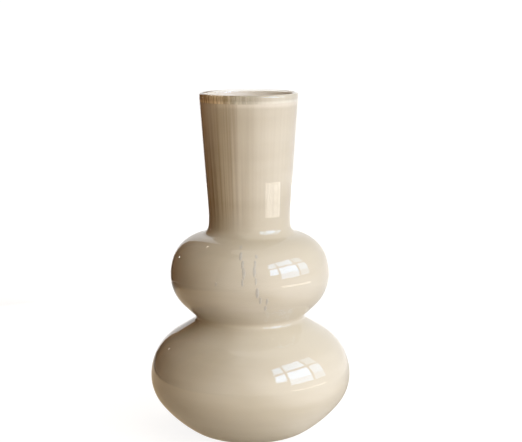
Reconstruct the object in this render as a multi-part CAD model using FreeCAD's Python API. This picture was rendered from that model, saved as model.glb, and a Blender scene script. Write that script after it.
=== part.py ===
import FreeCAD, Part
import math
import os

# Double gourd vase of cased glass: three fused layers, each turned about +Z.
# The base stands on z = 0 with the axis at x = y = 0. Lengths are in millimetres, angles in degrees.

# Whole vessel
total_height = 292.0

# Glass layers, measured square to the wall from the outside in
casing_thickness = 1.6
beige_thickness = 0.9
lining_thickness = 1.5

# Clear lip: how far below the very top each coloured layer stops
beige_stop_below_top = 7.0
lining_stop_below_top = 3.2

# Neck and lip side. The flare is how far the lip stands out from the narrowest ring of the neck.
neck_radius = 34.5
mouth_flare = 7.0
lip_side_bulge = 30.0
neck_heel_hollow = 87.0
neck_heel_lean = 5.0
neck_fillet = 7.9

# Upper bulb. The belly and shoulder bulges are shares of how far the bulb stands out from the neck.
upper_bulb_radius = 67.5
upper_bulb_rise = 36.4
upper_underside_share = 0.893
upper_belly_share = 1.374
upper_shoulder_share = 0.939
upper_shoulder_start = 17.2

# Waist between the bulbs
waist_radius = 46.3
waist_rise = 50.5
waist_fillet = 3.3

# Lower bulb. The belly bulge and the flat of the foot are shares of its radius, the foot bulge of its height.
lower_bulb_radius = 85.0
lower_bulb_height = 51.5
lower_shoulder_share = 0.907
lower_belly_share = 0.4223
lower_underside_bulge = 107.0
foot_flat_share = 0.3777
foot_bulge_share = 0.674

# Foot: a flat standing ring round a shallow ground hollow, with thicker clear glass above
foot_extra_glass = 2.6
standing_ring_width = 6.0
ground_hollow_depth = 1.2

wall_thickness = casing_thickness + beige_thickness + lining_thickness
mouth_radius = neck_radius + mouth_flare
lip_crown_radius = wall_thickness / 2
waist_height = lower_bulb_height + waist_rise
upper_bulb_height = waist_height + upper_bulb_rise
foot_flat_radius = foot_flat_share * lower_bulb_radius
foot_bulge = foot_bulge_share * lower_bulb_height
smallest_step_share = 1e-7


def facing(angle):
    """Unit direction in the (radius, height) plane at this angle above level."""
    return math.cos(math.radians(angle)), math.sin(math.radians(angle))


def point_facing(arc, angle):
    """The point of an arc where the glass faces this angle. A hollow arc has a negative radius."""
    (centre_r, centre_z), radius = arc
    return centre_r + radius * facing(angle)[0], centre_z + radius * facing(angle)[1]


def arc_leaving(arc, angle, radius):
    """The arc of another radius that carries on smoothly from an arc where it faces this angle."""
    r, z = point_facing(arc, angle)
    return (r - radius * facing(angle)[0], z - radius * facing(angle)[1]), radius


def arc_touching(lower, upper, radius):
    """The arc of this signed radius that touches both arcs, centred on the axis side of the line between them."""
    (lower_r, lower_z), lower_radius = lower
    (upper_r, upper_z), upper_radius = upper
    reach_lower = abs(lower_radius - radius)
    reach_upper = abs(upper_radius - radius)
    span_r, span_z = upper_r - lower_r, upper_z - lower_z
    span = math.hypot(span_r, span_z)
    along = (reach_lower ** 2 - reach_upper ** 2 + span ** 2) / (2 * span)
    aside = math.sqrt(reach_lower ** 2 - along ** 2)
    centre_r = lower_r + (along * span_r - aside * span_z) / span
    centre_z = lower_z + (along * span_z + aside * span_r) / span
    return (centre_r, centre_z), radius


def fullest_bulge(bulb_radius, rise):
    """The bulge that takes a bulb from its widest level, this far from the waist, straight into the waist fillet."""
    inward = waist_radius + waist_fillet - bulb_radius
    return (inward ** 2 + rise ** 2 - waist_fillet ** 2) / (2 * (waist_fillet - inward))


def joint_facing(lower, upper):
    """The angle that the glass faces along the straight line, or at the point, that joins two arcs."""
    (lower_r, lower_z), lower_radius = lower
    (upper_r, upper_z), upper_radius = upper
    span_r, span_z = upper_r - lower_r, upper_z - lower_z
    share = (lower_radius - upper_radius) / math.hypot(span_r, span_z)
    turn = math.degrees(math.acos(max(-1.0, min(1.0, share))))
    return math.degrees(math.atan2(span_z, span_r)) - turn


def lower_arcs(foot_rise):
    """The arcs of the outside from the foot to the waist fillet, as (centre, signed radius)."""
    foot = ((foot_flat_radius, foot_bulge + foot_rise), foot_bulge)
    belly_bulge = lower_belly_share * lower_bulb_radius
    belly = ((lower_bulb_radius - belly_bulge, lower_bulb_height), belly_bulge)
    underside = arc_touching(foot, belly, lower_underside_bulge)
    shoulder_bulge = lower_shoulder_share * fullest_bulge(lower_bulb_radius, waist_rise)
    shoulder = arc_leaving(belly, 0, shoulder_bulge)
    waist = ((waist_radius + waist_fillet, waist_height), -waist_fillet)
    return [foot, underside, belly, shoulder, waist]


def upper_arcs():
    """The arcs of the outside from the upper bulb to the lip, as (centre, signed radius)."""
    underside_bulge = upper_underside_share * fullest_bulge(upper_bulb_radius, upper_bulb_rise)
    underside = ((upper_bulb_radius - underside_bulge, upper_bulb_height), underside_bulge)
    standing_out = upper_bulb_radius - neck_radius
    belly = arc_leaving(underside, 0, upper_belly_share * standing_out)
    shoulder = arc_leaving(belly, upper_shoulder_start, upper_shoulder_share * standing_out)
    (shoulder_r, shoulder_z), shoulder_bulge = shoulder
    joint_r = neck_radius + neck_heel_hollow - (neck_heel_hollow - neck_fillet) * facing(neck_heel_lean)[0]
    joint_z = shoulder_z + math.sqrt((shoulder_bulge + neck_fillet) ** 2 - (joint_r - shoulder_r) ** 2)
    neck_joint = ((joint_r, joint_z), -neck_fillet)
    neck_heel = arc_leaving(neck_joint, neck_heel_lean, -neck_heel_hollow)
    lip_side = ((mouth_radius - lip_side_bulge, total_height - lip_crown_radius), lip_side_bulge)
    return [underside, belly, shoulder, neck_joint, neck_heel, lip_side]


def outline(depth, foot_rise=0.0):
    """The outline at this depth under the outside, as (arc, start angle, end angle) from foot to lip."""
    arcs = [(centre, radius - depth) for centre, radius in lower_arcs(foot_rise) + upper_arcs()]
    joints = [joint_facing(lower, upper) for lower, upper in zip(arcs, arcs[1:])]
    return list(zip(arcs, [-90.0] + joints, joints + [0.0]))


def floor_of(run):
    return 0.0, point_facing(run[0][0], -90)[1]


class Path:
    """A chain of lines and arcs in the (radius, height) plane, from a first point on the axis."""

    def __init__(self, start):
        self.start = start
        self.end = start
        self.edges = []

    def place(self, point):
        return FreeCAD.Vector(point[0], 0, point[1])

    def line_to(self, point):
        start, end = self.place(self.end), self.place(point)
        if not start.isEqual(end, total_height * smallest_step_share):
            self.edges.append(Part.LineSegment(start, end).toShape())
            self.end = point

    def arc_to(self, middle, point):
        self.edges.append(Part.Arc(self.place(self.end), self.place(middle), self.place(point)).toShape())
        self.end = point

    def follow(self, run, downwards=False):
        for arc, start, end in reversed(run) if downwards else run:
            if downwards:
                start, end = end, start
            self.line_to(point_facing(arc, start))
            self.arc_to(point_facing(arc, (start + end) / 2), point_facing(arc, end))

    def face(self):
        self.line_to(self.start)
        return Part.Face(Part.Wire(self.edges))


def whole_wall():
    """The cut face of the whole wall, with the ground hollow under the foot and the rounded lip."""
    hollow_rim = foot_flat_radius - standing_ring_width
    hollow_bulge = (hollow_rim ** 2 + ground_hollow_depth ** 2) / (2 * ground_hollow_depth)
    halfway = hollow_rim / 2
    halfway_height = math.sqrt(hollow_bulge ** 2 - halfway ** 2) - hollow_bulge + ground_hollow_depth
    crown = ((mouth_radius - lip_crown_radius, total_height - lip_crown_radius), lip_crown_radius)
    path = Path((0.0, ground_hollow_depth))
    path.arc_to((halfway, halfway_height), (hollow_rim, 0.0))
    path.follow(outline(0.0))
    path.arc_to(point_facing(crown, 90), point_facing(crown, 180))
    path.follow(outline(wall_thickness, foot_extra_glass), downwards=True)
    path.line_to(floor_of(outline(wall_thickness, foot_extra_glass)))
    return path.face()


def layer(depth, thickness, stop_height):
    """The cut face of a layer that lies at this depth and stops level at this height."""
    outer = outline(depth, foot_extra_glass)
    inner = outline(depth + thickness, foot_extra_glass)
    path = Path(floor_of(outer))
    path.follow(outer)
    path.line_to(point_facing(inner[-1][0], 0))
    path.follow(inner, downwards=True)
    path.line_to(floor_of(inner))
    below = Path((0.0, 0.0))
    below.line_to((lower_bulb_radius + upper_bulb_radius, 0.0))
    below.line_to((lower_bulb_radius + upper_bulb_radius, stop_height))
    below.line_to((0.0, stop_height))
    return path.face().common(below.face())


def turned(face):
    """A cut face turned once round the axis."""
    solid = face.Faces[0].revolve(FreeCAD.Vector(0, 0, 0), FreeCAD.Vector(0, 0, 1), 360)
    if solid.Volume < 0:
        solid.reverse()
    return solid


beige = layer(casing_thickness, beige_thickness, total_height - beige_stop_below_top)
lining = layer(casing_thickness + beige_thickness, lining_thickness, total_height - lining_stop_below_top)
casing = whole_wall().cut([beige, lining])

os.makedirs("parts", exist_ok=True)
for name, cut_face in (("clear_casing", casing), ("beige_layer", beige), ("opal_lining", lining)):
    turned(cut_face).exportStep("parts/" + name + ".step")
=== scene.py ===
import math
from collections import namedtuple
import bmesh
import bpy
from mathutils import Matrix, Quaternion, Vector


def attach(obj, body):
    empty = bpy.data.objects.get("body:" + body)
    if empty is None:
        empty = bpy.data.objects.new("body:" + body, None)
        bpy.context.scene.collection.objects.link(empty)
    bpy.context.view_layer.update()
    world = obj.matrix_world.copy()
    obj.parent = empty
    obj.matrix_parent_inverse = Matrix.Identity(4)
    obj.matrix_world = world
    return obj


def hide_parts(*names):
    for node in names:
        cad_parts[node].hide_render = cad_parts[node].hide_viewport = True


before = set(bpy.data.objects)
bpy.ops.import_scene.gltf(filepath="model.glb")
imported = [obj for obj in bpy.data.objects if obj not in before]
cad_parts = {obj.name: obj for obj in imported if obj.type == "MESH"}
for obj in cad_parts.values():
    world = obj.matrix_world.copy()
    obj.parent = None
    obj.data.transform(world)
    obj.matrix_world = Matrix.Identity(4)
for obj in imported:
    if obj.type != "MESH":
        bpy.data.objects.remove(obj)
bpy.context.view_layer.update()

# Clear casing. The outer gather of thick clear glass, which forms the whole outside, the foot and the
# rounded lip. It was blown, turned against a wet block, then fire-polished at the lip and ground flat
# on the foot.
mm = 0.001
wall_depth = 4.0 * mm
casing_depth = 1.6 * mm
beige_depth = 0.9 * mm
beige_top = 285.0 * mm
lining_top = 290.0 * mm
lining_edge_bulge = 0.75 * mm
lip_top = 292.0 * mm
lip_ring_radius = 39.5 * mm
lip_crown_radius = 2.0 * mm
hollow_rim_radius = 26.1 * mm
ground_hollow_depth = 1.2 * mm

steps_round_the_axis = 192
hollow_steps = 10
wall_step = 2.0 * mm
lip_crown_step = 0.3 * mm
lining_edge_step = 0.2 * mm
widest_turn = math.radians(6)
same_point = 0.01 * mm
same_corner = 0.002 * mm
sharp_edge = math.radians(35)

clear_tint = (0.955, 0.955, 0.935, 1)
glass_refraction = 1.5
swells_per_metre = (9, 9, 22)
swell_height = 0.4 * mm
turning_marks_per_metre = (7, 7, 160)
turning_mark_height = 0.02 * mm
ground_up_to, polished_from = 0.05 * mm, 0.25 * mm
ground_roughness, polished_roughness = 0.35, 0.004

# A bend of the outside, in millimetres: radius and height of its centre, its bulge (negative where it is
# hollow), and the degrees above level that the glass faces where the bend starts and ends.
Bend = namedtuple("Bend", "r z bulge start end")
foot_outside = (
    Bend(32.105, 34.711, 34.711, -90.0, -57.74),
    Bend(-6.481, 95.841, 107.0, -57.74, -38.58),
    Bend(49.105, 51.5, 35.895, -38.58, 0.0))
foot_inside = (
    Bend(32.105, 37.311, 34.711, -90.0, -62.05),
    Bend(-1.777, 101.168, 107.0, -62.05, -44.31),
    Bend(49.105, 51.5, 35.895, -44.31, 0.0))
above_the_belly = (
    Bend(40.558, 51.5, 44.442, 0.0, 58.375),
    Bend(49.6, 102.0, -3.3, 58.375, -46.265),
    Bend(33.076, 138.4, 34.424, -46.265, 0.0),
    Bend(22.158, 138.4, 45.342, 0.0, 17.2),
    Bend(35.871, 142.645, 30.987, 17.2, 79.884),
    Bend(42.701, 180.927, -7.9, 79.884, 5.0),
    Bend(121.5, 187.821, -87.0, 5.0, -4.085),
    Bend(11.5, 290.0, 30.0, -4.085, 0.0))


def bends_at(depth):
    """The bends of the wall at this depth under the outside, in metres."""
    foot = foot_inside if depth > 0 else foot_outside
    return [Bend(bend.r * mm, bend.z * mm, bend.bulge * mm - depth, bend.start, bend.end)
            for bend in foot + above_the_belly]


def on_bend(bend, angle):
    """The point of a bend where the glass faces this many degrees above level."""
    return Vector((bend.r + bend.bulge * math.cos(math.radians(angle)), 0,
                   bend.z + bend.bulge * math.sin(math.radians(angle))))


def facing_at(bend, height):
    """The degrees above level that a bend faces at this height."""
    return math.degrees(math.asin((height - bend.z) / bend.bulge))


def bends_up_to(depth, height):
    """The bends of the wall at this depth, from its floor to where it stops level at this height."""
    *lower_bends, lip_side = bends_at(depth)
    if height > on_bend(lip_side, lip_side.start).z:
        return lower_bends + [lip_side._replace(end=facing_at(lip_side, height))]
    return lower_bends


def wall_point(depth, height):
    """The point of the upper neck at this depth and height, on its straight stretch or on the bend of the lip."""
    heel, lip_side = bends_at(depth)[-2:]
    below, above = on_bend(heel, heel.end), on_bend(lip_side, lip_side.start)
    if height < above.z:
        return below.lerp(above, (height - below.z) / (above.z - below.z))
    return on_bend(lip_side, facing_at(lip_side, height))


def end_of(drawn):
    """The corner where a line that was just drawn ends."""
    return [part for part in drawn["geom_last"] if isinstance(part, bmesh.types.BMVert)][0]


def draw_to(bm, tip, point):
    """Carries the drawn line straight on to a point, unless it is there already."""
    if (tip.co - point).length >= same_point:
        tip = bmesh.ops.extrude_vert_indiv(bm, verts=[tip])["verts"][0]
    tip.co = point
    return tip


def draw_bend(bm, tip, bend, longest_step, downwards=False):
    """Carries the drawn line round one bend of the wall, in even steps."""
    start, end = (bend.end, bend.start) if downwards else (bend.start, bend.end)
    tip = draw_to(bm, tip, on_bend(bend, start))
    turn = math.radians(end - start)
    steps = max(2, round(max(abs(turn * bend.bulge) / longest_step, abs(turn) / widest_turn)))
    return end_of(bmesh.ops.spin(bm, geom=[tip], cent=(bend.r, 0, bend.z), axis=(0, -1, 0), angle=turn, steps=steps))


def draw_wall_up(bm, tip, depth, height):
    """Carries the drawn line up the wall at this depth and stops it level at this height."""
    for bend in bends_up_to(depth, height):
        tip = draw_bend(bm, tip, bend, wall_step)
    return draw_to(bm, tip, wall_point(depth, height))


def draw_wall_down(bm, tip, depth, height):
    """Carries the drawn line down the wall at this depth, from this height to the axis."""
    tip = draw_to(bm, tip, wall_point(depth, height))
    for bend in reversed(bends_up_to(depth, height)):
        tip = draw_bend(bm, tip, bend, wall_step, downwards=True)
    return draw_to(bm, tip, Vector((0, 0, tip.co.z)))


def axis_start(bm, depth):
    """The first point of a layer's line, on the axis level with its floor."""
    floor_bend = bends_at(depth)[0]
    return bm.verts.new((0, 0, on_bend(floor_bend, floor_bend.start).z))


def placed_piece(name, bm):
    """Puts the drawn shape into the scene as a piece of its own, smooth to the light."""
    mesh = bpy.data.meshes.new(name)
    bm.to_mesh(mesh)
    bm.free()
    mesh.shade_smooth()
    piece = bpy.data.objects.new(name, mesh)
    bpy.context.scene.collection.objects.link(piece)
    return piece


def turned_piece(name, bm):
    """Spins the drawn line once round the axis into a closed piece."""
    bmesh.ops.spin(bm, geom=bm.verts[:] + bm.edges[:], cent=(0, 0, 0), axis=(0, 0, 1),
                   angle=2 * math.pi, steps=steps_round_the_axis, use_merge=True)
    bmesh.ops.remove_doubles(bm, verts=bm.verts, dist=same_corner)
    bmesh.ops.recalc_face_normals(bm, faces=bm.faces)
    piece = placed_piece(name, bm)
    piece.data.set_sharp_from_angle(angle=sharp_edge)
    return piece


def finish_of(piece, name):
    """Gives the piece a material of this name, a finish that starts with no nodes."""
    material = bpy.data.materials.new(name)
    material.use_nodes = True
    material.node_tree.nodes.clear()
    piece.data.materials.append(material)
    return material.node_tree


def add(finish, kind, sockets=None, **settings):
    """Adds a node to a finish. Each socket named here gets a value of its own or the output that feeds it."""
    node = finish.nodes.new("ShaderNode" + kind)
    for setting, value in settings.items():
        setattr(node, setting, value)
    for socket, value in (sockets or {}).items():
        if isinstance(value, bpy.types.NodeSocket):
            finish.links.new(value, node.inputs[socket])
        else:
            node.inputs[socket].default_value = value
    return node


def clouds(finish, place, per_metre, detail):
    """A cloudy pattern in the piece's own coordinates, with this many clouds per metre along X, Y and Z."""
    spread_out = add(finish, "Mapping", {"Vector": place, "Scale": per_metre}).outputs["Vector"]
    return add(finish, "TexNoise", {"Vector": spread_out, "Scale": 1.0, "Detail": detail}).outputs["Fac"]


def way_from(finish, value, start, end, low=0.0, high=1.0, eased=False):
    """How far a value has come on the way from start to end, as a share or as a number from low to high."""
    span = {"Value": value, "From Min": start, "From Max": end, "To Min": low, "To Max": high}
    return add(finish, "MapRange", span, interpolation_type="SMOOTHSTEP" if eased else "LINEAR").outputs["Result"]


bm = bmesh.new()
hollow_bulge = (hollow_rim_radius ** 2 + ground_hollow_depth ** 2) / (2 * ground_hollow_depth)
tip = bm.verts.new((0, 0, ground_hollow_depth))
tip = end_of(bmesh.ops.spin(bm, geom=[tip], cent=(0, 0, ground_hollow_depth - hollow_bulge), axis=(0, 1, 0),
                            angle=math.asin(hollow_rim_radius / hollow_bulge), steps=hollow_steps))
tip = draw_wall_up(bm, tip, 0, lip_top - lip_crown_radius)
lip_crown = Bend(lip_ring_radius, lip_top - lip_crown_radius, lip_crown_radius, 0, 180)
tip = draw_bend(bm, tip, lip_crown, lip_crown_step)
lining_edge = Bend(lip_ring_radius - lip_crown_radius + lining_edge_bulge, lining_top, lining_edge_bulge, 0, 180)
tip = draw_bend(bm, tip, lining_edge, lining_edge_step, downwards=True)
tip = draw_to(bm, tip, wall_point(casing_depth + beige_depth, beige_top))
tip = draw_wall_down(bm, tip, casing_depth, beige_top)
casing = turned_piece("clear_glass_casing", bm)
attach(casing, "root")
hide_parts("clear_casing")

# Long swells and fine turning marks move the gloss, and only the ground ring of the foot is matt. Shadow rays
# and soft light pass straight through the glass, so that the layer under it is lit.
finish = finish_of(casing, "fire_polished_clear_glass")
place = add(finish, "TexCoord").outputs["Object"]
swells = add(finish, "Bump", {
    "Strength": 1.0, "Distance": swell_height,
    "Height": clouds(finish, place, swells_per_metre, detail=1.0)}).outputs["Normal"]
turning_marks = add(finish, "Bump", {
    "Strength": 1.0, "Distance": turning_mark_height, "Normal": swells,
    "Height": clouds(finish, place, turning_marks_per_metre, detail=2.0)}).outputs["Normal"]
height = add(finish, "SeparateXYZ", {"Vector": place}).outputs["Z"]
roughness = way_from(finish, height, ground_up_to, polished_from, ground_roughness, polished_roughness)
glass = add(finish, "BsdfPrincipled", {
    "Base Color": clear_tint, "IOR": glass_refraction, "Transmission Weight": 1.0,
    "Roughness": roughness, "Normal": turning_marks}).outputs["BSDF"]
clear = add(finish, "BsdfTransparent", {"Color": clear_tint}).outputs["BSDF"]
ray = add(finish, "LightPath").outputs
soft_or_shadow = add(finish, "Math", {0: ray["Is Shadow Ray"], 1: ray["Is Diffuse Ray"]},
                     operation="MAXIMUM").outputs["Value"]
let_light_in = add(finish, "MixShader", {"Fac": soft_or_shadow, 1: glass, 2: clear}).outputs["Shader"]
add(finish, "OutputMaterial", {"Surface": let_light_in})

# Beige layer. The thin second gather of sand-beige opal glass that gives the vase its colour. It is fused
# to the casing all over and thins out to nothing a few millimetres under the lip. Brown streaks are drawn up
# one side of the neck, and they darken that side as painted shade. Under the lip, that side's far edge is
# lighter with painted light.
overlap = 0.05 * mm
sand_beige_shades = ((0.36, (0.578, 0.528, 0.43, 1)), (0.64, (0.652, 0.605, 0.51, 1)))
brown_streaks_and_painted_shade = ((0.35, (0.74, 0.65, 0.52, 1)), (0.60, (1.02, 0.97, 0.88, 1)))
thinned_out_beige = (0.74, 0.695, 0.61, 1)
painted_light_far_edge = (0.82, 0.74, 0.62, 1)
clouds_per_metre = (5, 5, 38)
streak_fineness = 16
streak_changes_per_metre = 5
streaks_and_shade_heights, streaks_and_shade_side = (172 * mm, 205 * mm), (6 * mm, -26 * mm)
faintest_streaks_and_shade = 0.14
painted_light_heights, painted_light_side = (225 * mm, 282 * mm), (-20 * mm, -36 * mm)
thinning_heights = (280.5 * mm, 284.0 * mm)


def shade(finish, share, stops):
    """The colour at this share of a ramp, whose stops are positions and colours in rising order."""
    node = add(finish, "ValToRGB", {"Fac": share})
    first, *between, last = stops
    node.color_ramp.elements[0].position, node.color_ramp.elements[0].color = first
    node.color_ramp.elements[1].position, node.color_ramp.elements[1].color = last
    for position, colour in between:
        node.color_ramp.elements.new(position).color = colour
    return node.outputs["Color"]


def product(finish, one, other):
    """Two shares multiplied."""
    return add(finish, "Math", {0: one, 1: other}, operation="MULTIPLY").outputs["Value"]


def lay_over(finish, under, over, share, blend_type="MIX"):
    """Lays one colour over another by this share, as it is or multiplied with what lies under it."""
    return add(finish, "Mix", {"Factor": share, "A": under, "B": over},
               data_type="RGBA", blend_type=blend_type).outputs["Result"]


bm = bmesh.new()
tip = axis_start(bm, casing_depth - overlap)
tip = draw_wall_up(bm, tip, casing_depth - overlap, beige_top)
tip = draw_wall_down(bm, tip, casing_depth + beige_depth + overlap, beige_top)
beige = turned_piece("beige_glass_layer", bm)
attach(beige, "root")
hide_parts("beige_layer")

finish = finish_of(beige, "sand_beige_opal_glass")
place = add(finish, "TexCoord").outputs["Object"]
sides = add(finish, "SeparateXYZ", {"Vector": place}).outputs
sand_beige = shade(finish, clouds(finish, place, clouds_per_metre, detail=4.0), sand_beige_shades)
thinning_out = way_from(finish, sides["Z"], *thinning_heights, eased=True)
sand_beige = lay_over(finish, sand_beige, thinned_out_beige, thinning_out)

from_axis = add(finish, "VectorMath", {0: place, 1: (1, 1, 0)}, operation="MULTIPLY").outputs["Vector"]
round_axis = add(finish, "VectorMath", {0: from_axis}, operation="NORMALIZE").outputs["Vector"]
slow_change = add(finish, "VectorMath", {0: place, 1: (0, 0, streak_changes_per_metre)},
                  operation="MULTIPLY").outputs["Vector"]
drawn_up = add(finish, "VectorMath", {0: round_axis, 1: (streak_fineness,) * 3, 2: slow_change},
               operation="MULTIPLY_ADD").outputs["Vector"]
streaks = add(finish, "TexNoise", {"Vector": drawn_up, "Scale": 1.0, "Detail": 2.0}).outputs["Fac"]
# Brown streaks up one side of the neck, which also darken that side as painted shade.
on_the_neck = way_from(finish, sides["Z"], *streaks_and_shade_heights, eased=True)
side_with_streaks_and_painted_shading = way_from(finish, sides["X"], *streaks_and_shade_side, low=faintest_streaks_and_shade, eased=True)
streaked_and_shaded = lay_over(finish, sand_beige, shade(finish, streaks, brown_streaks_and_painted_shade),
                    product(finish, on_the_neck, side_with_streaks_and_painted_shading), blend_type="MULTIPLY")

# Painted light: under the lip, the far edge of that side is made lighter.
below_the_lip = way_from(finish, sides["Z"], *painted_light_heights)
painted_light_edge = way_from(finish, sides["X"], *painted_light_side, eased=True)
with_painted_light = lay_over(finish, streaked_and_shaded, painted_light_far_edge, product(finish, below_the_lip, painted_light_edge))
opal = add(finish, "BsdfPrincipled", {"Base Color": with_painted_light, "Roughness": 0.6,
                                      "Specular IOR Level": 0.0}).outputs["BSDF"]
add(finish, "OutputMaterial", {"Surface": opal})

# Opal lining. The first bubble of pale milk-white opal glass, which everything else was gathered over.
# Its inner face is the inside of the vase, glossy as blown. Its outer edge shows through the clear lip as a
# streaked band. Painted shade darkens the band towards the top, and painted light and shade across the lip
# make it lighter at its -X end and darker in the middle; its streaks on that side lighten it as painted light too.
milk_white_shades = ((0.3, (0.75, 0.71, 0.65, 1)), (0.7, (0.85, 0.82, 0.76, 1)))
lip_band_painted_shade = ((0.0, thinned_out_beige), (0.16, (0.74, 0.70, 0.62, 1)), (0.40, (0.56, 0.51, 0.42, 1)))
lip_streak_and_painted_light_shades = ((0.40, (0.64, 0.55, 0.44, 1)), (0.58, (1.15, 1.08, 1.0, 1)))
painted_light_across_the_lip = (
    (0.0, (1.62, 1.56, 1.42, 1)), (0.18, (1.38, 1.33, 1.20, 1)), (0.36, (0.84, 0.86, 0.80, 1)),
    (0.56, (0.84, 0.84, 0.80, 1)), (0.70, (1.08, 1.10, 1.10, 1)), (1.0, (1.06, 1.10, 1.12, 1)))
opal_clouds_per_metre = (8, 8, 50)
lip_streaks_per_metre = (640, 640, 40)
lip_streaks_and_light_side = (12 * mm, -26 * mm)
faintest_lip_streaks_and_light = 0.15
half_edge_softness = 0.1 * mm

bm = bmesh.new()
tip = axis_start(bm, casing_depth + beige_depth - overlap)
tip = draw_wall_up(bm, tip, casing_depth + beige_depth - overlap, lining_top)
tip = draw_bend(bm, tip, lining_edge._replace(bulge=lining_edge_bulge + overlap), lining_edge_step)
tip = draw_wall_down(bm, tip, wall_depth, lining_top)
lining = turned_piece("opal_glass_lining", bm)
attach(lining, "root")
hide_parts("opal_lining")

finish = finish_of(lining, "milk_white_opal_glass")
place = add(finish, "TexCoord").outputs["Object"]
sides = add(finish, "SeparateXYZ", {"Vector": place}).outputs
milk_white = shade(finish, clouds(finish, place, opal_clouds_per_metre, detail=3.0), milk_white_shades)
# Painted shade: the band darkens towards the top of the lip.
band_with_painted_shading = shade(finish, way_from(finish, sides["Z"], beige_top, lip_top), lip_band_painted_shade)
# Painted light and shade across the lip: lighter at the -X end, darker in the middle.
tones = shade(finish, way_from(finish, sides["X"], -lip_ring_radius, lip_ring_radius), painted_light_across_the_lip)
band_with_painted_shading = lay_over(finish, band_with_painted_shading, tones, 1.0, blend_type="MULTIPLY")
# Streaks on one side of the band, which also lighten it there as painted light.
side_with_streaks_and_painted_shading = way_from(finish, sides["X"], *lip_streaks_and_light_side, low=faintest_lip_streaks_and_light, eased=True)
lip_streaks_and_painted_light = shade(finish, clouds(finish, place, lip_streaks_per_metre, detail=2.0), lip_streak_and_painted_light_shades)
band_with_painted_shading = lay_over(finish, band_with_painted_shading, lip_streaks_and_painted_light, side_with_streaks_and_painted_shading, blend_type="MULTIPLY")
from_axis = add(finish, "VectorMath", {0: place, 1: (1, 1, 0)}, operation="MULTIPLY").outputs["Vector"]
reach = add(finish, "VectorMath", {0: from_axis}, operation="LENGTH").outputs["Value"]
outer_side = way_from(finish, reach, lining_edge.r - half_edge_softness, lining_edge.r + half_edge_softness)
inside_and_painted_band = lay_over(finish, milk_white, band_with_painted_shading, outer_side)
opal = add(finish, "BsdfPrincipled", {"Base Color": inside_and_painted_band, "Roughness": 0.12,
                                      "IOR": glass_refraction}).outputs["BSDF"]
add(finish, "OutputMaterial", {"Surface": opal})

# Ash trails. Thin grey trails of ash and seed that were caught between the beige layer and the casing and
# drawn out upwards as the upper bulb was blown. Each is given by its degrees round the axis from the front, then
# its height, length and width in millimetres.
trails = ((-7.7, 168.8, 5.2, 2.1), (-6.8, 163.0, 8.1, 2.5), (-4.9, 157.0, 7.5, 2.2), (-3.9, 150.5, 9.4, 2.7),
          (-4.8, 143.0, 6.2, 1.7), (5.8, 162.6, 3.8, 2.4), (4.4, 157.5, 6.2, 2.0), (3.7, 151.5, 8.8, 2.4),
          (4.6, 144.0, 6.2, 1.8), (5.6, 134.5, 9.0, 2.8), (7.9, 128.0, 6.2, 2.2), (12.8, 127.0, 5.8, 2.0),
          (12.2, 121.0, 5.2, 2.4), (-24.0, 141.0, 3.2, 1.4), (38.0, 150.0, 3.0, 1.4), (95.0, 156.0, 8.8, 2.2),
          (170.0, 133.0, 10.0, 2.4))
trail_depth = casing_depth - 0.1 * mm
half_trail_thickness = 0.11 * mm
ash_grains_per_metre = 900.0
ash_greys = ((0.35, (0.49, 0.47, 0.44, 1)), (0.65, (0.60, 0.57, 0.51, 1)))


def from_front(azimuth):
    """The level direction at this angle round the axis from the front."""
    return Vector((math.sin(azimuth), -math.cos(azimuth), 0))


def spot_on_wall(depth, height, azimuth):
    """The point of the bulb at this depth, height and angle round the axis, and the way the glass faces there."""
    for bend in bends_at(depth):
        if on_bend(bend, bend.start).z <= height <= on_bend(bend, bend.end).z:
            lean = math.asin((height - bend.z) / bend.bulge)
            outwards = from_front(azimuth)
            facing = outwards * math.cos(lean) + Vector((0, 0, math.sin(lean)))
            return outwards * (bend.r + bend.bulge * math.cos(lean)) + Vector((0, 0, height)), facing
    raise ValueError("no bend of the wall is at this height")


bm = bmesh.new()
for azimuth, height, length, width in trails:
    spot, facing = spot_on_wall(trail_depth, height * mm, math.radians(azimuth))
    turn = facing.to_track_quat("Y", "Z").to_matrix().to_4x4()
    shape = Matrix.Diagonal((width / 2 * mm, half_trail_thickness, length / 2 * mm, 1))
    bmesh.ops.create_icosphere(bm, subdivisions=3, radius=1, matrix=Matrix.Translation(spot) @ turn @ shape)
ash = placed_piece("ash_trails", bm)
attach(ash, "root")

finish = finish_of(ash, "grey_ash")
place = add(finish, "TexCoord").outputs["Object"]
speckle = add(finish, "TexNoise", {"Vector": place, "Scale": ash_grains_per_metre, "Detail": 2.0}).outputs["Fac"]
grit = add(finish, "BsdfPrincipled", {"Base Color": shade(finish, speckle, ash_greys), "Roughness": 0.8,
                                      "Specular IOR Level": 0.0}).outputs["BSDF"]
add(finish, "OutputMaterial", {"Surface": grit})

# Floor. A plain pale studio sheet that runs far back, white to the camera and keeping the vase's shadow. It
# throws pale light from the table round the vase and warm brown light from further off.
sheet_reach = 400
table_middle = (0.28, -0.14, 0)
sheet_white = (0.27, 0.268, 0.262, 1)
sheet_glow = 0.88
table_soft_edge = (0.56, 0.26)
thrown_light_shades = ((0.0, (0.17, 0.085, 0.03, 1)), (1.0, (0.92, 0.91, 0.90, 1)))

bm = bmesh.new()
bmesh.ops.create_grid(bm, x_segments=1, y_segments=1, size=sheet_reach)
floor = placed_piece("studio_floor", bm)

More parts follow.
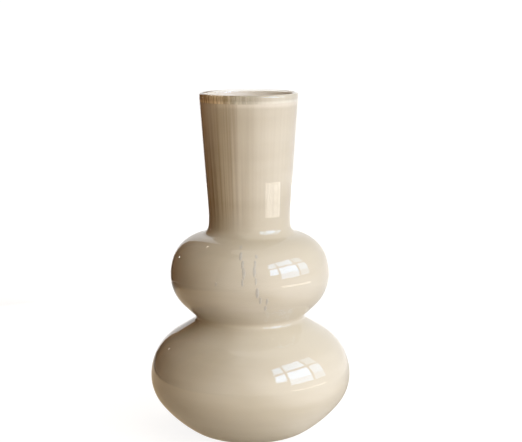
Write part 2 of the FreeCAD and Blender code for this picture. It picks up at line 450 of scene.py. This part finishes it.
finish = finish_of(floor, "pale_studio_sheet")
place = add(finish, "TexCoord").outputs["Object"]
from_table = add(finish, "VectorMath", {0: place, 1: table_middle}, operation="DISTANCE").outputs["Value"]
thrown_light = shade(finish, way_from(finish, from_table, *table_soft_edge), thrown_light_shades)
lights_others = add(finish, "LightPath").outputs["Is Diffuse Ray"]
sheet_colour = lay_over(finish, sheet_white, thrown_light, lights_others)
glow_strength = add(finish, "Math", {0: lights_others, 1: -sheet_glow, 2: sheet_glow},
                    operation="MULTIPLY_ADD").outputs["Value"]
sheet = add(finish, "BsdfDiffuse", {"Color": sheet_colour}).outputs["BSDF"]
glow = add(finish, "Emission", {"Strength": glow_strength}).outputs["Emission"]
both = add(finish, "AddShader", {0: sheet, 1: glow}).outputs["Shader"]
add(finish, "OutputMaterial", {"Surface": both})

# Curtain. A brown curtain hangs round the left of the set, out of the camera's sight. It keeps light off that
# side and gives the glass something dark to reflect. It ends softly on the camera's side.
curtain_radius = 0.60
curtain_foot, curtain_top = 0.002, 2.2
curtain_from, curtain_to = math.radians(-155), math.radians(-6)
curtain_steps = 32
folds_per_metre = (16, 16, 0.6)
curtain_soft_edge = (-0.595, -0.34)
brown_dyes = ((0.40, (0.030, 0.012, 0.003, 1)), (0.66, (0.25, 0.125, 0.045, 1)))

bm = bmesh.new()
hem = bm.verts.new(from_front(curtain_from) * curtain_radius + Vector((0, 0, curtain_foot)))
hook = bm.verts.new(from_front(curtain_from) * curtain_radius + Vector((0, 0, curtain_top)))
edge = bm.edges.new((hem, hook))
bmesh.ops.spin(bm, geom=[hem, hook, edge], cent=(0, 0, 0), axis=(0, 0, 1),
               angle=curtain_to - curtain_from, steps=curtain_steps)
curtain = placed_piece("brown_curtain", bm)
curtain.visible_camera = False

finish = finish_of(curtain, "brown_curtain_cloth")
place = add(finish, "TexCoord").outputs["Object"]
folds = clouds(finish, place, folds_per_metre, detail=3.0)
cloth = add(finish, "BsdfDiffuse", {"Color": shade(finish, folds, brown_dyes)}).outputs["BSDF"]
nothing = add(finish, "BsdfTransparent").outputs["BSDF"]
way_back = add(finish, "SeparateXYZ", {"Vector": place}).outputs["Y"]
thickening = way_from(finish, way_back, *curtain_soft_edge, eased=True)
hang = add(finish, "MixShader", {"Fac": thickening, 1: nothing, 2: cloth}).outputs["Shader"]
add(finish, "OutputMaterial", {"Surface": hang})

# Table shade. Only the glass mirrors it, as the warm tones in its undersides: the table is warm near the vase,
# dark past its edge on the curtain's side, and fades into the white sheet on the other side.
shade_radius = 0.59
shade_height = 0.0015
shade_sides = 64
table_tones = ((0.0, (0.82, 0.58, 0.30, 1)), (0.47, (0.40, 0.32, 0.22, 1)), (1.0, (0.62, 0.61, 0.60, 1)))
dark_past_table = (0.07, 0.035, 0.012, 1)
tones_from_side_to_side = (-0.30, 0.34)
curtain_side, table_edge = (0.02, -0.12), (0.35, 0.44)
side_without_curtain, fading_edge = (-0.35, -0.05), (0.12, 0.55)


def leave_to_mirrors(piece):
    """Lets only mirrored rays meet the piece, so that it neither lights nor shades anything."""
    for ray_kind in ("camera", "diffuse", "transmission", "shadow"):
        setattr(piece, "visible_" + ray_kind, False)
    piece.active_material.cycles.emission_sampling = "NONE"


bm = bmesh.new()
bmesh.ops.create_circle(bm, segments=shade_sides, radius=shade_radius, cap_ends=True)
bmesh.ops.translate(bm, verts=bm.verts, vec=(0, 0, shade_height))
table_shade = placed_piece("table_shade", bm)

finish = finish_of(table_shade, "shaded_table")
leave_to_mirrors(table_shade)
place = add(finish, "TexCoord").outputs["Object"]
side = add(finish, "SeparateXYZ", {"Vector": place}).outputs["X"]
reach = add(finish, "VectorMath", {0: place}, operation="LENGTH").outputs["Value"]
tones = shade(finish, way_from(finish, side, *tones_from_side_to_side), table_tones)
towards_curtain = way_from(finish, side, *curtain_side)
past_table = way_from(finish, reach, *table_edge, eased=True)
tones = lay_over(finish, tones, dark_past_table, product(finish, towards_curtain, past_table))
away_from_curtain = way_from(finish, side, *side_without_curtain)
fading = way_from(finish, reach, *fading_edge, eased=True)
toned = add(finish, "Emission", {"Color": tones}).outputs["Emission"]
nothing = add(finish, "BsdfTransparent").outputs["BSDF"]
bareness = product(finish, fading, away_from_curtain)
laid = add(finish, "MixShader", {"Fac": bareness, 1: toned, 2: nothing}).outputs["Shader"]
add(finish, "OutputMaterial", {"Surface": laid})

# Window. A tall softbox in window panes stands to the front and right, and only the gloss of the glass mirrors
# the panes. Two plain lamps in the same plane light the vase: a cool one, and a warm one nearer the camera.
window_facing = math.radians(61)
window_distance = 1.6
window_sill = 0.12
outward = from_front(window_facing)
sideways = Vector((math.cos(window_facing), math.sin(window_facing), 0))
pane_columns = ((-0.61, -0.325), (-0.265, 0.265), (0.325, 0.675))
pane_rows = ((0.08, 0.26), (0.26, 0.56), (0.64, 1.0))
pane_radiances = ((0.0, 8.0, 6.0), (5.0, 8.5, 6.0), (2.5, 4.5, 2.5))
pane_blue = (0.47, 0.74, 1.13)
cool_daylight = (0.97, 1.04, 1.34)
warm_daylight = (1.0, 0.86, 0.56)
cool_light_edges, cool_light_radiance = (-0.5, 0.2, 0.05, 0.95), 3.9
warm_light_edges, warm_light_radiance = (-1.15, -0.5, 0.05, 0.95), 3.2


def hang_lamp(name, shape, wide, tall, radiance, colour, location, turn, mirrored):
    """Hangs a flat lamp. Either the gloss of the glass mirrors it, or it lights the vase and isn't seen at all."""
    lamp = bpy.data.lights.new(name, "AREA")
    lamp.shape = shape
    lamp.size = wide
    lamp.size_y = tall
    lamp.energy = radiance * math.pi * wide * tall * (math.pi / 4 if shape == "DISK" else 1)
    lamp.color = colour
    panel = bpy.data.objects.new(name, lamp)
    panel.location = location
    panel.rotation_mode = "QUATERNION"
    panel.rotation_quaternion = turn
    panel.visible_camera = False
    panel.visible_transmission = False
    panel.visible_glossy = mirrored
    panel.visible_diffuse = not mirrored
    bpy.context.scene.collection.objects.link(panel)


def hang_in_window(name, left, right, low, high, radiance, colour, mirrored):
    """Hangs a lamp in the window's plane, its edges given in window distances from the middle of the sill."""
    middle = (outward * window_distance + sideways * (left + right) / 2 * window_distance
              + Vector((0, 0, window_sill + (low + high) / 2 * window_distance)))
    hang_lamp(name, "RECTANGLE", (right - left) * window_distance, (high - low) * window_distance, radiance, colour,
              middle, outward.to_track_quat("Z", "Y"), mirrored)


for column, (left, right) in enumerate(pane_columns):
    for row, (low, high) in enumerate(pane_rows):
        radiance = pane_radiances[column][row]
        if radiance > 0:
            hang_in_window(f"pane_{column}_{row}", left, right, low, high, radiance, pane_blue, mirrored=True)
hang_in_window("window_light", *cool_light_edges, cool_light_radiance, cool_daylight, mirrored=False)
hang_in_window("warm_light", *warm_light_edges, warm_light_radiance, warm_daylight, mirrored=False)

# Low fill. A square lamp lies on the floor to the right and lights the undersides, as a lit pale table top would.
fill_size = 0.6
fill_place = (0.34, -0.22, 0.004)
fill_radiance = 0.38
fill_colour = (0.95, 1.03, 1.35)
facing_up = Quaternion((1, 0, 0), math.pi)
hang_lamp("low_fill", "RECTANGLE", fill_size, fill_size, fill_radiance, fill_colour, fill_place, facing_up,
          mirrored=False)

# Back light. A tall narrow lamp stands behind the vase and lights its far side alone, so that the glass keeps
# its beige there too.
back_light_width, back_light_length = 0.36, 1.1
back_light_place = (0.14, 1.6, 0.42)
back_light_slant = Vector((0.14, 1.6, 0.27))
back_light_radiance = 6.5
back_light_colour = (1.0, 0.96, 0.90)
hang_lamp("back_light", "RECTANGLE", back_light_width, back_light_length, back_light_radiance, back_light_colour,
          back_light_place, back_light_slant.to_track_quat("Z", "Y"), mirrored=False)

# Pinpoints. Two small round lamps in front of the curtain give the glass its bright specks. Each is given by its
# angle round the axis from the front, its height and its radiance.
pinpoints = ((-131, 0.252, 12), (-135, 0.79, 16))
pinpoint_reach = 0.57
pinpoint_size = 0.016
speck_height = 0.15
plain_white = (1, 1, 1)
for number, (azimuth, height, radiance) in enumerate(pinpoints):
    towards = from_front(math.radians(azimuth)) * pinpoint_reach + Vector((0, 0, height - speck_height))
    wide = pinpoint_size * (1 + height)
    hang_lamp(f"pinpoint_{number}", "DISK", wide, wide, radiance, plain_white,
              towards + Vector((0, 0, speck_height)), towards.to_track_quat("Z", "Y"), mirrored=True)

# Sun patch. Sunlight on the floor out to the right, which the glass mirrors as a pale block low on the neck and
# as a thin line on the bulb under it. It is a strip of a ring round a point behind the vase.
patch_centre = Vector((-0.004, 0.179, 0.003))
patch_radius = 1.027
patch_width = 0.25
patch_from, patch_to = math.radians(37), math.radians(81)
patch_steps = 24
block_turn = math.radians(-22)
block_size = (0.060, 0.26, 1)
dimmer_sun = (4.4, 4.3, 4.1, 1)
brighter_sun = (5.5, 5.5, 5.3, 1)
sun_between_blocks = (3.1, 3.1, 3.0, 1)

bm = bmesh.new()
near_end = bm.verts.new(patch_centre + from_front(patch_from) * (patch_radius - patch_width))
far_end = bm.verts.new(patch_centre + from_front(patch_from) * patch_radius)
edge = bm.edges.new((near_end, far_end))
bmesh.ops.spin(bm, geom=[near_end, far_end, edge], cent=patch_centre, axis=(0, 0, 1),
               angle=patch_to - patch_from, steps=patch_steps)
sun_patch = placed_piece("sun_patch", bm)

finish = finish_of(sun_patch, "broken_sunlight")
leave_to_mirrors(sun_patch)
place = add(finish, "TexCoord").outputs["Object"]
in_blocks = add(finish, "Mapping", {"Vector": place, "Rotation": (0, 0, block_turn), "Scale": block_size},
                vector_type="TEXTURE").outputs["Vector"]
blocks = add(finish, "TexBrick", {
    "Vector": in_blocks, "Color1": dimmer_sun, "Color2": brighter_sun, "Mortar": sun_between_blocks, "Scale": 1.0,
    "Mortar Size": 0.17, "Mortar Smooth": 1.0, "Brick Width": 1.0, "Row Height": 1.0}).outputs["Color"]
sunlight = add(finish, "Emission", {"Color": blocks}).outputs["Emission"]
add(finish, "OutputMaterial", {"Surface": sunlight})

# Room. The soft light from all round, pale on the window's side and brown on the curtain's. The camera, and
# whatever the glass mirrors or lets through, meets plain white instead.
window_side = (0.76, -0.35, 0.55)
room_shades = ((0.3, (0.06, 0.02, 0.002, 1)), (0.69, (0.52, 0.39, 0.25, 1)), (0.95, (1.35, 1.36, 1.37, 1)))

world = bpy.data.worlds.new("soft_room")
bpy.context.scene.world = world
world.use_nodes = True
finish = world.node_tree
finish.nodes.clear()
direction = add(finish, "TexCoord").outputs["Generated"]
towards_window = add(finish, "VectorMath", {0: direction, 1: window_side}, operation="DOT_PRODUCT").outputs["Value"]
room = shade(finish, way_from(finish, towards_window, -1.0, 1.0), room_shades)
around = add(finish, "Background", {"Color": room}).outputs["Background"]
white = add(finish, "Background", {"Color": (1, 1, 1, 1)}).outputs["Background"]
ray = add(finish, "LightPath").outputs
seen = add(finish, "Math", {0: ray["Is Camera Ray"], 1: ray["Is Glossy Ray"]}, operation="MAXIMUM").outputs["Value"]
seen = add(finish, "Math", {0: seen, 1: ray["Is Transmission Ray"]}, operation="MAXIMUM").outputs["Value"]
choose = add(finish, "MixShader", {"Fac": seen, 1: around, 2: white}).outputs["Shader"]
add(finish, "OutputWorld", {"Surface": choose})

# Camera. A short telephoto a little above the rim, tipped down, as the photograph was taken.
picture_width = 522
focal_length_in_pixels = 1500
sensor_width = 36.0
camera_place = (0.0098, -1.255, 0.3780)
tip_down, turn_right = math.radians(8.82), math.radians(0.32)
lens = bpy.data.cameras.new("camera")
lens.sensor_width = sensor_width
lens.lens = focal_length_in_pixels / picture_width * sensor_width
camera = bpy.data.objects.new("camera", lens)
camera.location = camera_place
camera.rotation_mode = "ZYX"
camera.rotation_euler = (math.radians(90) - tip_down, 0, -turn_right)
bpy.context.scene.collection.objects.link(camera)
bpy.context.scene.camera = camera
bpy.context.scene.view_settings.view_transform = "Standard"
